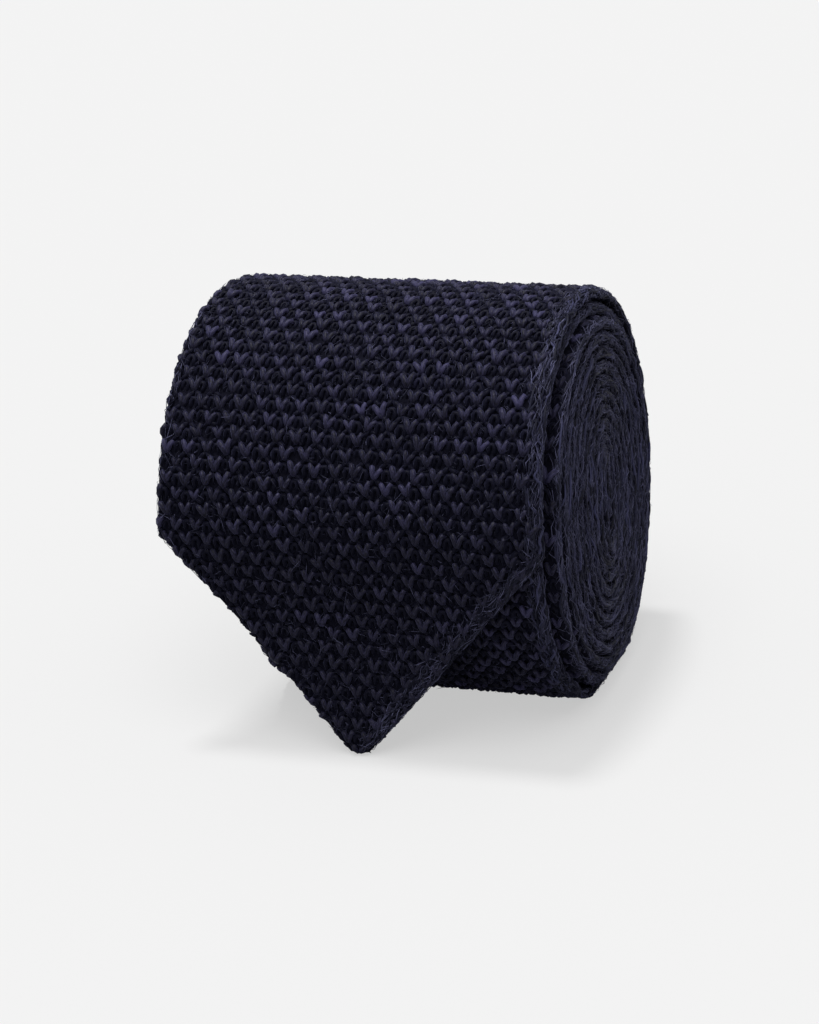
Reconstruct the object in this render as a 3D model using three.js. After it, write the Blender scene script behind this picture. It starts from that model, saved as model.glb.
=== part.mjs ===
// A knit tie, rolled up and lying on its side, in millimetres. +Z is up, the roll's axis runs along X,
// and -Y is the front, where the pointed wide end hangs down from the top of the roll to the surface.
import * as THREE from 'three';

// Widths of the flat tie, and the height and blunt end of the points at its two ends.
const bladeWidth = 65.2;
const neckWidth = 41;
const tailWidth = 46;
const pointHeight = 34.3;
const tailPointHeight = 20;
const bluntEnd = 3.2;

// The blade narrows to the neck over the first length, and the tail widens over the second.
const taperLength = 300;
const tailFlareLength = 420;

// The knitted tube lies doubled. Its turns keep a gap, and so do two pieces where they meet.
const knitThickness = 1.75;
const turnGap = 0.31;
const seamGap = 0.3;

// The roll is taller than it is deep. Its core is a narrow upright hollow, set to the back.
const rollHeight = 65.6;
const rollDepth = 59.6;
const coreHeight = 10.4;
const coreDepth = 5.8;
const coreSetback = 1.2;

// The roll is pressed flat where it rests. The point leans forward and ends just above the surface.
const restFlat = 1.2;
const pointLean = 4;
const pointLift = 0.4;

// Lengths of the knitted pieces from the wide end. The tail takes what is left of the tie.
const bladeLength = 590;
const neckLength = 380;

// How far the turns of the roll's right end stand out at the front, and in at the back.
const endLean = 1.5;

// The right fold of the outer turns, as a share of half the blade's width. Turn 0 is at the front.
const rightFold = [
  { turn: 0.0, share: 1.0 },
  { turn: 0.25, share: 0.955 },
  { turn: 0.5, share: 0.922 },
  { turn: 0.75, share: 0.93 },
  { turn: 1.0, share: 0.955 },
  { turn: 1.25, share: 0.95 },
  { turn: 1.5, share: 0.925 },
  { turn: 1.75, share: 0.97 },
  { turn: 2.0, share: 1.035 },
  { turn: 2.5, share: 0.96 },
];

// Steps of the mesh: round each turn, down the hanging point, and round each side fold.
const stepsPerTurn = 36;
const hangSteps = 11;
const foldCorners = 4;

// The least part of a step between two stations, and the steps that find where a stretch is pressed.
const leastStep = 0.3;
const edgeSteps = 6;

// The spiral along the middle of the cloth. Its height is set between the top and the bottom of the
// outer turn, and its depth between the front and the top.
const outerHeight = (rollHeight + restFlat - knitThickness) / 2;
const outerDepth = (rollDepth - knitThickness) / 2;
const heightTurn = 0.5;
const depthTurn = 0.25;
const bottomTurn = 0.75;
const depthRun = outerDepth - coreDepth / 2;
const turns = depthTurn + (depthRun - coreSetback) / (knitThickness + turnGap);
const depthPitch = depthRun / (turns - depthTurn);
const heightPitch = (outerHeight - coreHeight / 2) / (turns - heightTurn);
const bottomHalf = halfHeight(bottomTurn);
const rollCentre = bottomHalf - restFlat + knitThickness / 2;

function halfDepth(turn) {
  return outerDepth - (turn - depthTurn) * depthPitch;
}

function halfHeight(turn) {
  return outerHeight - (turn - heightTurn) * heightPitch;
}

// The level that a turn is pressed to at its bottom, less and less towards the core.
function pressedLevel(turn) {
  const bottom = Math.floor(turn - bottomTurn + 0.5) + bottomTurn;
  const half = halfHeight(bottom);
  return restFlat * (half / bottomHalf) ** 2 - half;
}

// A point of the spiral in the YZ plane: the cloth goes up the front, over the top and down the back.
function spiralPoint(turn) {
  const angle = turn * 2 * Math.PI;
  const y = coreSetback * turn / turns - halfDepth(turn) * Math.cos(angle);
  const z = Math.max(halfHeight(turn) * Math.sin(angle), pressedLevel(turn));
  return new THREE.Vector2(y, rollCentre + z);
}

// A point of the hanging blade, from its tip at share 0 up to the roll at share 1.
function hangPoint(share) {
  const top = spiralPoint(0);
  const y = top.x - pointLean * (1 - share) ** 2;
  return new THREE.Vector2(y, THREE.MathUtils.lerp(pointLift, top.y, share));
}

// The turn at which the pressed stretch under a bottom starts, at side -1, or ends, at side 1.
function pressedEdge(bottom, side) {
  let turn = bottom;
  for (let i = 0; i < edgeSteps; i++) {
    const cosine = Math.min(-pressedLevel(bottom) / halfHeight(turn), 1);
    turn = bottom + side * Math.acos(cosine) / (2 * Math.PI);
  }
  return turn;
}

// The turns of the spiral's stations: even steps, but only the two ends of each pressed stretch.
function stationTurns() {
  const stations = [];
  for (let bottom = bottomTurn; bottom < turns; bottom++) {
    for (const side of [-1, 1]) stations.push({ turn: pressedEdge(bottom, side), pressed: true });
  }
  const steps = Math.floor(turns * stepsPerTurn);
  for (let i = 0; i <= steps; i++) {
    const turn = i / stepsPerTurn;
    const bottom = Math.floor(turn - bottomTurn + 0.5) + bottomTurn;
    const side = Math.sign(turn - bottom);
    const beyond = side * (turn - pressedEdge(bottom, side)) * stepsPerTurn;
    if (side !== 0 && beyond > leastStep) stations.push({ turn, pressed: false });
  }
  return stations.sort((a, b) => a.turn - b.turn);
}

// The middle line of the tie, from the wide point to the core, with the length and turn at each station.
function middleLine() {
  const line = [];
  for (let i = 0; i < hangSteps; i++) {
    line.push({ at: hangPoint(i / hangSteps), turn: 0, pressed: false });
  }
  for (const station of stationTurns()) line.push({ ...station, at: spiralPoint(station.turn) });
  line[0].length = 0;
  for (let i = 1; i < line.length; i++) {
    line[i].length = line[i - 1].length + line[i].at.distanceTo(line[i - 1].at);
  }
  return line;
}

// The direction that points out of the roll at a station: straight down where it is pressed flat.
function outward(line, i) {
  if (line[i].pressed) return new THREE.Vector2(0, -1);
  const before = line[Math.max(i - 1, 0)].at;
  const after = line[Math.min(i + 1, line.length - 1)].at;
  const along = after.clone().sub(before).normalize();
  return new THREE.Vector2(-along.y, along.x);
}

// The station at any length, between two stations of the middle line.
function stationAt(line, length) {
  const next = line.findIndex((station) => station.length > length);
  const from = line[next - 1];
  const to = line[next];
  const share = (length - from.length) / (to.length - from.length);
  return {
    at: from.at.clone().lerp(to.at, share),
    out: from.out.clone().lerp(to.out, share).normalize(),
    turn: THREE.MathUtils.lerp(from.turn, to.turn, share),
    length,
  };
}

// Width of the flat tie between its two folds, before the points at its ends are cut.
function bandWidth(length, tieLength) {
  const narrowing = THREE.MathUtils.clamp((length - pointHeight) / taperLength, 0, 1);
  const widening = THREE.MathUtils.smoothstep(length, tieLength - tailFlareLength, tieLength);
  const width = THREE.MathUtils.lerp(bladeWidth, neckWidth, narrowing);
  return THREE.MathUtils.lerp(width, tailWidth, widening);
}

// Width with the points: each end narrows evenly to its blunt end.
function widthAt(length, tieLength) {
  const wideEnd = bluntEnd + (bladeWidth - bluntEnd) * length / pointHeight;
  const narrowEnd = bluntEnd + (tailWidth - bluntEnd) * (tieLength - length) / tailPointHeight;
  return Math.min(bandWidth(length, tieLength), wideEnd, narrowEnd);
}

// Where the right fold lies at a turn. Past the table the roll's end leans evenly.
function foldAt(turn) {
  const half = bladeWidth / 2;
  const leaning = half + endLean * Math.cos(turn * 2 * Math.PI);
  const next = rightFold.findIndex((row) => row.turn > turn);
  if (next < 0) return leaning;
  const from = rightFold[next - 1];
  const to = rightFold[next];
  const share = THREE.MathUtils.smoothstep(turn, from.turn, to.turn);
  return half * THREE.MathUtils.lerp(from.share, to.share, share);
}

// One closed section across the tie: flat faces, and a round fold at each side.
function section(station, tieLength) {
  const width = widthAt(station.length, tieLength);
  const middle = foldAt(station.turn) - bandWidth(station.length, tieLength) / 2;
  const radius = knitThickness / 2;
  const reach = radius / Math.cos(Math.PI / foldCorners / 2);
  const points = [];
  for (const side of [1, -1]) {
    for (let i = 0; i < foldCorners; i++) {
      const angle = side * Math.PI * ((i + 0.5) / foldCorners - 0.5);
      const x = middle + side * (width / 2 - radius + reach * Math.cos(angle));
      const rise = reach * Math.sin(angle);
      const y = station.at.x + station.out.x * rise;
      points.push(x, y, station.at.y + station.out.y * rise);
    }
  }
  return points;
}

// One knitted piece between two lengths from the wide point, as a closed mesh.
function knittedPiece(name, line, from, to, colour) {
  const tieLength = line[line.length - 1].length;
  const inside = line.filter((station) => station.length > from && station.length < to);
  const first = from > 0 ? stationAt(line, from) : line[0];
  const last = to < tieLength ? stationAt(line, to) : line[line.length - 1];
  const rings = [first, ...inside, last].map((station) => section(station, tieLength));
  const corners = 2 * foldCorners;
  const faces = [];
  for (let r = 0; r < rings.length - 1; r++) {
    for (let c = 0; c < corners; c++) {
      const a = r * corners + c;
      const b = r * corners + (c + 1) % corners;
      faces.push(a, a + corners, b, b, a + corners, b + corners);
    }
  }
  const end = (rings.length - 1) * corners;
  for (let c = 1; c < corners - 1; c++) {
    faces.push(0, c, c + 1);
    faces.push(end, end + c + 1, end + c);
  }
  const geometry = new THREE.BufferGeometry();
  geometry.setAttribute('position', new THREE.Float32BufferAttribute(rings.flat(), 3));
  geometry.setIndex(faces);
  geometry.computeVertexNormals();
  const knit = new THREE.MeshStandardMaterial({ color: colour, roughness: 0.95, metalness: 0 });
  const mesh = new THREE.Mesh(geometry, knit);
  mesh.name = name;
  return mesh;
}

const line = middleLine();
line.forEach((station, i) => { station.out = outward(line, i); });
const tieLength = line[line.length - 1].length;
const neckStart = bladeLength + seamGap;
const tailStart = neckStart + neckLength + seamGap;

const group = new THREE.Group();
group.add(knittedPiece('front_blade', line, 0, bladeLength, 0x17171f));
group.add(knittedPiece('neck_band', line, neckStart, neckStart + neckLength, 0x1b1b26));
group.add(knittedPiece('tail', line, tailStart, tieLength, 0x1f1f2c));

// The origin is on the surface, under the middle of the roll and its hanging point.
const middle = new THREE.Box3().setFromObject(group).getCenter(new THREE.Vector3());
group.position.set(-middle.x, -middle.y, 0);

export default group;
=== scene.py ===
# %% [markdown]
# # A knit tie, rolled up
#
# The real thing is a tube of knitted yarn, pressed flat and finished with a point at each end. Here it is
# rolled up from its narrow end and laid on its side, and the wide point hangs down in front. The plan is
# to make everything on the flat tie, where a stitch is easy to place, and then to roll the flat tie up
# with one function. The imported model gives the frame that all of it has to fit.

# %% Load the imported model
import math

import bpy
import numpy as np
from mathutils import Matrix, Vector


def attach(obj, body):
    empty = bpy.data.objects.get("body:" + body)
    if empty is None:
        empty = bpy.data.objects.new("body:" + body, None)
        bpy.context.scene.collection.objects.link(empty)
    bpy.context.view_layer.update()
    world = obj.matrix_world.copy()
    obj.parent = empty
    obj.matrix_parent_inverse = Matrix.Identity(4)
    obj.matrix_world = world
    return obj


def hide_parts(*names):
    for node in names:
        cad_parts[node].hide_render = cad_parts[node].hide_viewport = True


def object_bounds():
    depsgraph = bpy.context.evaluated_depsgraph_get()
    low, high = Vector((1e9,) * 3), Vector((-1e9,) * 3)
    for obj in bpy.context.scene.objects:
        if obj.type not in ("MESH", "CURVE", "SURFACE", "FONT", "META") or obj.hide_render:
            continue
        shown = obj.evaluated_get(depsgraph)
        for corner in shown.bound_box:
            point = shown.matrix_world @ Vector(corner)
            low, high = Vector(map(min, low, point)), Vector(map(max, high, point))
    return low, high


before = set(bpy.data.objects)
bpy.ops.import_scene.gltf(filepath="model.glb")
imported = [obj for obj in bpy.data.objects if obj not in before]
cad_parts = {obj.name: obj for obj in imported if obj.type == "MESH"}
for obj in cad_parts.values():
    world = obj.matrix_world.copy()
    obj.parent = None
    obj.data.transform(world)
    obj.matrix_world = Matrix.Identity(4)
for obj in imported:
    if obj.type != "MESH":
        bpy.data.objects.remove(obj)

MM = 0.001
cad_low, cad_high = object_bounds()
print("CAD box in mm:", [round(c / MM, 1) for c in (*cad_low, *cad_high)])

# %% [markdown]
# ## The camera
#
# The picture looks down on the roll from its right, a little turned in the picture's plane. The camera
# stands over half a metre away with a long lens, so the two ends of the roll keep nearly the same scale.
# It is aimed a few millimetres beside the middle of the roll, which puts the roll where it lies in the
# frame.

# %% The camera
AZIMUTH, ELEVATION, ROLL = (math.radians(angle) for angle in (24.0, 22.6, -6.3))
CAMERA_DISTANCE = 575 * MM
CAMERA_LENS = 124.3
ROLL_MIDDLE = Vector((-0.86, 2.0, 32.8)) * MM
AIM_LEFT, AIM_DOWN = 1.0 * MM, 4.95 * MM
NEAREST_SEEN = 10 * MM


def level_axes(azimuth, elevation):
    """Right, up and back of a camera that isn't turned in the picture's plane."""
    back = Vector((
        math.sin(azimuth) * math.cos(elevation),
        -math.cos(azimuth) * math.cos(elevation),
        math.sin(elevation),
    ))
    right = Vector((math.cos(azimuth), math.sin(azimuth), 0))
    return right, back.cross(right), back


def add_camera():
    right, up, back = level_axes(AZIMUTH, ELEVATION)
    turned_right = right * math.cos(ROLL) + up * math.sin(ROLL)
    turned_up = up * math.cos(ROLL) - right * math.sin(ROLL)
    place = ROLL_MIDDLE + back * CAMERA_DISTANCE
    aim = ROLL_MIDDLE - turned_right * AIM_LEFT - turned_up * AIM_DOWN
    camera_back = (place - aim).normalized()
    camera_right = turned_up.cross(camera_back).normalized()
    camera_up = camera_back.cross(camera_right)
    bpy.ops.object.camera_add(location=place)
    camera = bpy.context.object
    turn = Matrix((camera_right, camera_up, camera_back)).transposed()
    camera.matrix_world = Matrix.Translation(place) @ turn.to_4x4()
    camera.data.lens = CAMERA_LENS
    camera.data.clip_start = NEAREST_SEEN
    bpy.context.scene.camera = camera
    return camera


camera = add_camera()
print("camera at", [round(c, 3) for c in camera.location])

# %% [markdown]
# ## The floor and the light
#
# The tie lies on a plain pale sheet that has no edge in the picture. Most of the light comes from all
# round, as in a white tent. A soft lamp high above, a little to the left and behind, gives the shadow its
# direction, and puts the shine on the upper side of each stitch. A wider one above the front keeps the
# hanging point visible.
# The floor glows a little to the camera only, so that it stays as bright as a lit studio sheet.

# %% The floor
WHITE = (1, 1, 1, 1)
FLOOR_SIZE = 5.0
FLOOR_COLOUR, FLOOR_ROUGHNESS, FLOOR_SPECULAR = (0.33, 0.33, 0.33, 1), 0.9, 0.1
FLOOR_GLOW = 0.528


def add_floor():
    bpy.ops.mesh.primitive_plane_add(size=FLOOR_SIZE)
    floor = bpy.context.object
    floor.name = "floor"
    paper = bpy.data.materials.new("pale_paper")
    paper.use_nodes = True
    shader = paper.node_tree.nodes["Principled BSDF"]
    shader.inputs["Base Color"].default_value = FLOOR_COLOUR
    shader.inputs["Roughness"].default_value = FLOOR_ROUGHNESS
    shader.inputs["Specular IOR Level"].default_value = FLOOR_SPECULAR
    shader.inputs["Emission Color"].default_value = WHITE
    path = paper.node_tree.nodes.new("ShaderNodeLightPath")
    glow = paper.node_tree.nodes.new("ShaderNodeMath")
    glow.operation = "MULTIPLY"
    glow.inputs[1].default_value = FLOOR_GLOW
    paper.node_tree.links.new(path.outputs["Is Camera Ray"], glow.inputs[0])
    paper.node_tree.links.new(glow.outputs["Value"], shader.inputs["Emission Strength"])
    floor.data.materials.append(paper)


add_floor()
print("the floor is", FLOOR_SIZE, "m wide")

# %% The light from all round
TENT_STRENGTH = 0.33
BACKDROP_STRENGTH = 0.9


def add_tent():
    world = bpy.data.worlds.new("white_tent")
    bpy.context.scene.world = world
    world.use_nodes = True
    nodes, links = world.node_tree.nodes, world.node_tree.links
    nodes.clear()
    light = nodes.new("ShaderNodeBackground")
    light.inputs["Strength"].default_value = TENT_STRENGTH
    seen = nodes.new("ShaderNodeBackground")
    seen.inputs["Strength"].default_value = BACKDROP_STRENGTH
    for background in (light, seen):
        background.inputs["Color"].default_value = WHITE
    path = nodes.new("ShaderNodeLightPath")
    mix = nodes.new("ShaderNodeMixShader")
    output = nodes.new("ShaderNodeOutputWorld")
    links.new(path.outputs["Is Camera Ray"], mix.inputs["Fac"])
    links.new(light.outputs["Background"], mix.inputs[1])
    links.new(seen.outputs["Background"], mix.inputs[2])
    links.new(mix.outputs["Shader"], output.inputs["Surface"])


add_tent()
print("the tent lights the scene with", TENT_STRENGTH)

# %% The lamps
LAMPS = {  # name: strength, spread in degrees, where it shines from
    "main_lamp": (1.5, 10, (-0.14, 0.16, 1.0)),
    "wide_lamp": (1.05, 45, (0.10, -0.30, 1.0)),
}


def add_lamp(name, strength, spread, shines_from):
    direction = Vector(shines_from).normalized()
    bpy.ops.object.light_add(type="SUN", location=direction)
    lamp = bpy.context.object
    lamp.name = name
    lamp.rotation_euler = direction.to_track_quat("Z", "Y").to_euler()
    lamp.data.energy = strength
    lamp.data.angle = math.radians(spread)


for lamp_name, settings in LAMPS.items():
    add_lamp(lamp_name, *settings)
bpy.context.scene.view_settings.view_transform = "Standard"
print("lamps:", *LAMPS)

# %% [markdown]
# ## The flat tie
#
# Laid out flat, the tie is a long band. It is widest at the shoulders of its front point, narrows to the
# neck and widens a little again towards the tail. Its outline is given by few sizes, and one function
# says how wide the band is at any length from the front point.

# %% The sizes of the flat tie
BLADE_WIDTH, NECK_WIDTH, TAIL_WIDTH = 65.2 * MM, 41 * MM, 46 * MM
POINT_HEIGHT, TAIL_POINT_HEIGHT, BLUNT_END = 34.3 * MM, 20 * MM, 3.2 * MM
TAPER_LENGTH, FLARE_LENGTH = 300 * MM, 420 * MM
BLADE_LENGTH, NECK_LENGTH, SEAM_GAP = 590 * MM, 380 * MM, 0.3 * MM


def smooth_share(value, start, end):
    """0 before start and 1 after end, with a soft passage between them."""
    share = np.clip((value - start) / (end - start), 0, 1)
    return share * share * (3 - 2 * share)


def band_width(along, tie_length):
    """Width between the two folds, before the points are cut."""
    narrowing = np.clip((along - POINT_HEIGHT) / TAPER_LENGTH, 0, 1)
    width = BLADE_WIDTH + (NECK_WIDTH - BLADE_WIDTH) * narrowing
    return width + (TAIL_WIDTH - width) * smooth_share(along, tie_length - FLARE_LENGTH, tie_length)


def width_at(along, tie_length):
    """Width with the points at both ends."""
    front = BLUNT_END + (BLADE_WIDTH - BLUNT_END) * along / POINT_HEIGHT
    back = BLUNT_END + (TAIL_WIDTH - BLUNT_END) * (tie_length - along) / TAIL_POINT_HEIGHT
    return np.minimum(band_width(along, tie_length), np.minimum(front, back))


print("the tie is", BLADE_WIDTH / MM, "mm wide in front,", NECK_WIDTH / MM, "at the neck")

# %% [markdown]
# ## Rolling it up
#
# Seen from the side, the middle of the cloth follows one line: up from the tip of the point, then round
# and round in an oval spiral to a narrow core, a little flatter where the roll rests. The line is sampled
# finely, with its length and its outward direction at each sample. Any point of the flat tie, given by
# how far across it lies, how far along and how high above the cloth, can then be looked up on the line.

# %% The sizes of the roll
KNIT, TURN_GAP = 1.75 * MM, 0.31 * MM
ROLL_HEIGHT, ROLL_DEPTH = 65.6 * MM, 59.6 * MM
CORE_HEIGHT, CORE_DEPTH, CORE_SETBACK = 10.4 * MM, 5.8 * MM, 1.2 * MM
REST_FLAT, POINT_LEAN, POINT_LIFT, END_LEAN = 1.2 * MM, 4 * MM, 0.4 * MM, 1.5 * MM
HEIGHT_TURN, DEPTH_TURN, BOTTOM_TURN = 0.5, 0.25, 0.75
RIGHT_FOLD = (  # turn, share of half the blade's width
    (0.0, 1.0), (0.25, 0.955), (0.5, 0.922), (0.75, 0.93), (1.0, 0.955),
    (1.25, 0.95), (1.5, 0.925), (1.75, 0.97), (2.0, 1.035), (2.5, 0.96),
)

OUTER_HEIGHT = (ROLL_HEIGHT + REST_FLAT - KNIT) / 2
OUTER_DEPTH = (ROLL_DEPTH - KNIT) / 2
DEPTH_RUN = OUTER_DEPTH - CORE_DEPTH / 2
TURNS = DEPTH_TURN + (DEPTH_RUN - CORE_SETBACK) / (KNIT + TURN_GAP)
DEPTH_PITCH = DEPTH_RUN / (TURNS - DEPTH_TURN)
HEIGHT_PITCH = (OUTER_HEIGHT - CORE_HEIGHT / 2) / (TURNS - HEIGHT_TURN)
print(f"{TURNS:.2f} turns, {DEPTH_PITCH / MM:.2f} mm apart in front and {HEIGHT_PITCH / MM:.2f} mm on top")


# %% The spiral and the right fold
def half_height(turn):
    return OUTER_HEIGHT - (turn - HEIGHT_TURN) * HEIGHT_PITCH


BOTTOM_HALF = half_height(BOTTOM_TURN)
ROLL_CENTRE = BOTTOM_HALF - REST_FLAT + KNIT / 2


def spiral(turn):
    """Y and Z of the middle of the cloth at a turn of the roll."""
    half = half_height(np.floor(turn - BOTTOM_TURN + 0.5) + BOTTOM_TURN)
    pressed = REST_FLAT * (half / BOTTOM_HALF) ** 2 - half
    half_depth = OUTER_DEPTH - (turn - DEPTH_TURN) * DEPTH_PITCH
    y = CORE_SETBACK * turn / TURNS - half_depth * np.cos(2 * np.pi * turn)
    rise = half_height(turn) * np.sin(2 * np.pi * turn)
    return y, ROLL_CENTRE + np.maximum(rise, pressed)


def fold_at(turn):
    """X of the right fold, before the roll is centred on its frame."""
    turns, shares = np.array(RIGHT_FOLD).T
    row = np.clip(np.searchsorted(turns, turn, side="right") - 1, 0, len(turns) - 2)
    passed = smooth_share(turn, turns[row], turns[row + 1])
    outer = BLADE_WIDTH / 2 * (shares[row] + (shares[row + 1] - shares[row]) * passed)
    leaning = BLADE_WIDTH / 2 + END_LEAN * np.cos(2 * np.pi * turn)
    return np.where(turn < turns[-1], outer, leaning)


print(f"the middle of the roll is {ROLL_CENTRE / MM:.1f} mm up")

# %% The line that the cloth follows
HANG_SAMPLES, TURN_SAMPLES = 60, 180
BEYOND_TIP = 6 * MM


def cloth_line():
    """Samples of the line: y, z, outward y and z, turn, length, and the x of the band's middle."""
    share = np.linspace(0, 1, HANG_SAMPLES, endpoint=False)
    top_y, top_z = spiral(np.array([0.0]))
    hang_y = top_y - POINT_LEAN * (1 - share) ** 2
    hang_z = POINT_LIFT + share * (top_z - POINT_LIFT)
    turn = np.arange(0, TURNS, 1 / TURN_SAMPLES)
    y, z = spiral(turn)
    y, z = np.concatenate([hang_y, y]), np.concatenate([hang_z, z])
    turn = np.concatenate([np.zeros(HANG_SAMPLES), turn])
    length = np.concatenate([[0], np.cumsum(np.hypot(np.diff(y), np.diff(z)))])
    tie_length = length[-1]
    tip = np.array([y[1] - y[0], z[1] - z[0]]) / length[1] * BEYOND_TIP
    y, z = np.concatenate([[y[0] - tip[0]], y]), np.concatenate([[z[0] - tip[1]], z])
    length = np.concatenate([[-BEYOND_TIP], length])
    turn = np.concatenate([[0], turn])
    dy, dz = np.gradient(y, length), np.gradient(z, length)
    out_y, out_z = -dz / np.hypot(dy, dz), dy / np.hypot(dy, dz)
    middle = fold_at(turn) - band_width(length, tie_length) / 2
    return {"y": y, "z": z, "out_y": out_y, "out_z": out_z, "turn": turn,
            "length": length, "middle": middle}, tie_length


LINE, TIE_LENGTH = cloth_line()
INSIDE_LINE = LINE["length"] >= 0
ROLL_SHIFT = np.array([
    cad_high.x - fold_at(LINE["turn"][INSIDE_LINE]).max(),
    cad_high.y - (LINE["y"] + LINE["out_y"] * KNIT / 2)[INSIDE_LINE].max(),
    0.0,
])
print(f"the tie is {TIE_LENGTH:.3f} m long; the roll is moved by {np.round(ROLL_SHIFT / MM, 2)} mm")

# %% From the flat tie to the roll
PRESSED = 0.12 * MM


def length_at(turn):
    """Length from the front point to a turn of the roll."""
    return float(np.interp(turn, LINE["turn"][INSIDE_LINE], LINE["length"][INSIDE_LINE]))


def above_floor(z):
    """Heights as they are, but pressed flat just above the surface that the roll rests on."""
    low = np.minimum(z - PRESSED, 0)
    return np.maximum(z, PRESSED * np.exp(low / PRESSED))


def roll_up(flat):
    """Carries points of the flat tie (across, along, height) to their place in the roll."""
    across, along, height = np.moveaxis(flat, -1, 0)
    y, z, out_y, out_z, middle = (
        np.interp(along, LINE["length"], LINE[key]) for key in ("y", "z", "out_y", "out_z", "middle"))
    x, y, z = middle + across, y + out_y * height, z + out_z * height
    return np.stack([x, y, above_floor(z)], axis=-1) + ROLL_SHIFT


print("the tip of the point is rolled to", np.round(roll_up(np.zeros(3)) / MM, 1), "mm")

# %% [markdown]
# ## The knitted cloth
#
# The tie is a flattened tube, so each of its three lengths is made as a tube: a grid whose columns go
# round the tube and whose rows go along it. The grid's two side edges are merged into one seam, its open
# ends are filled, and the closed tube is rolled up. The outer turns are thinner than the finished knit,
# because raised stitches lie on top of them. The inner turns have their full thickness, so that no light
# comes through between them.

# %% The thickness of the cloth
FACE_END_TURN = 1.06
CLOTH_THICKNESS = (  # turn, thickness in mm
    (FACE_END_TURN, 0.95), (1.15, 1.4), (2.6, 1.4), (2.75, 1.75),
)


def cloth_radius(along):
    """Half the thickness of the cloth at each length."""
    turns, thickness = np.array(CLOTH_THICKNESS).T
    turn = np.interp(along, LINE["length"][INSIDE_LINE], LINE["turn"][INSIDE_LINE])
    return np.interp(turn, turns, thickness) * MM / 2


print("the cloth gets thicker at", *[round(length_at(turn), 3) for turn, _ in CLOTH_THICKNESS], "m")


# %% Points of a piece, and nothing selected
def deselect_all():
    bpy.ops.object.select_all(action="DESELECT")


def points_of(piece):
    points = np.empty(len(piece.data.vertices) * 3, np.float32)
    piece.data.vertices.foreach_get("co", points)
    return points.reshape(-1, 3).astype(float)


def set_points(piece, points):
    piece.data.vertices.foreach_set("co", points.astype(np.float32).ravel())
    piece.data.update()


# %% A flattened tube of cloth
FACE_COLUMNS, FOLD_COLUMNS = 5, 6
RING = 2 * (FACE_COLUMNS + FOLD_COLUMNS)
MERGE_WITHIN = 0.001 * MM


def tube_section(column):
    """Where a column lies on the section: share of the flat face, and the two ways round a fold."""
    side = column // (RING // 2) % 2
    step = column % (RING // 2)
    face = np.clip(step / FACE_COLUMNS, 0, 1) * 2 - 1
    angle = np.pi / 2 - np.pi * np.clip((step - FACE_COLUMNS) / FOLD_COLUMNS, 0, 1)
    sign = np.where(side == 0, 1, -1)
    return sign * face, sign * np.cos(angle), sign * np.sin(angle)


def cloth_tube(name, start, end, row_step):
    """One closed length of the flattened tube, still flat."""
    deselect_all()
    rows = round((end - start) / row_step)
    bpy.ops.mesh.primitive_grid_add(x_subdivisions=RING, y_subdivisions=rows, size=2)
    piece = bpy.context.object
    piece.name = name
    grid = points_of(piece)
    column = np.rint((grid[:, 0] + 1) / 2 * RING).astype(int)
    along = start + (grid[:, 1] + 1) / 2 * (end - start)
    face, fold, rise = tube_section(column)
    radius = cloth_radius(along)
    across = face * (width_at(along, TIE_LENGTH) / 2 - radius) + fold * radius
    set_points(piece, np.stack([across, along, rise * radius], axis=1))
    bpy.ops.object.mode_set(mode="EDIT")
    bpy.ops.mesh.select_all(action="SELECT")
    bpy.ops.mesh.remove_doubles(threshold=MERGE_WITHIN)
    bpy.ops.mesh.select_all(action="DESELECT")
    bpy.ops.mesh.select_mode(type="EDGE")
    bpy.ops.mesh.select_non_manifold()
    bpy.ops.mesh.fill_holes(sides=0)
    bpy.ops.mesh.select_all(action="SELECT")
    bpy.ops.mesh.normals_make_consistent(inside=False)
    bpy.ops.object.mode_set(mode="OBJECT")
    bpy.ops.object.shade_smooth()
    return piece


print("a tube has", RING, "columns round it")


# %% The three lengths of cloth
FLAT_MAP = "flat_tie"


def uv_from_flat(piece):
    """Keeps each corner's place on the flat tie, in metres, as the UV map that the cloth's relief follows."""
    flat = points_of(piece)
    corners = np.empty(len(piece.data.loops), np.int32)
    piece.data.loops.foreach_get("vertex_index", corners)
    layer = piece.data.uv_layers.new(name=FLAT_MAP)
    layer.data.foreach_set("uv", flat[corners][:, :2].astype(np.float32).ravel())
    for other in [layer for layer in piece.data.uv_layers if layer.name != FLAT_MAP]:
        piece.data.uv_layers.remove(other)


NECK_START = BLADE_LENGTH + SEAM_GAP
TAIL_START = NECK_START + NECK_LENGTH + SEAM_GAP
CLOTHS = {
    "front_blade_cloth": ("front_blade", 0.0, BLADE_LENGTH),
    "neck_band_cloth": ("neck_band", NECK_START, NECK_START + NECK_LENGTH),
    "tail_cloth": ("tail", TAIL_START, TIE_LENGTH),
}
ROW_STEP = 1.8 * MM
cloths = {}
for cloth_name, (node, start, end) in CLOTHS.items():
    cloth = cloth_tube(cloth_name, start, end, ROW_STEP)
    uv_from_flat(cloth)
    set_points(cloth, roll_up(points_of(cloth)))
    cloths[cloth_name] = cloth
    print(cloth_name, len(cloth.data.polygons), "faces")
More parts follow.
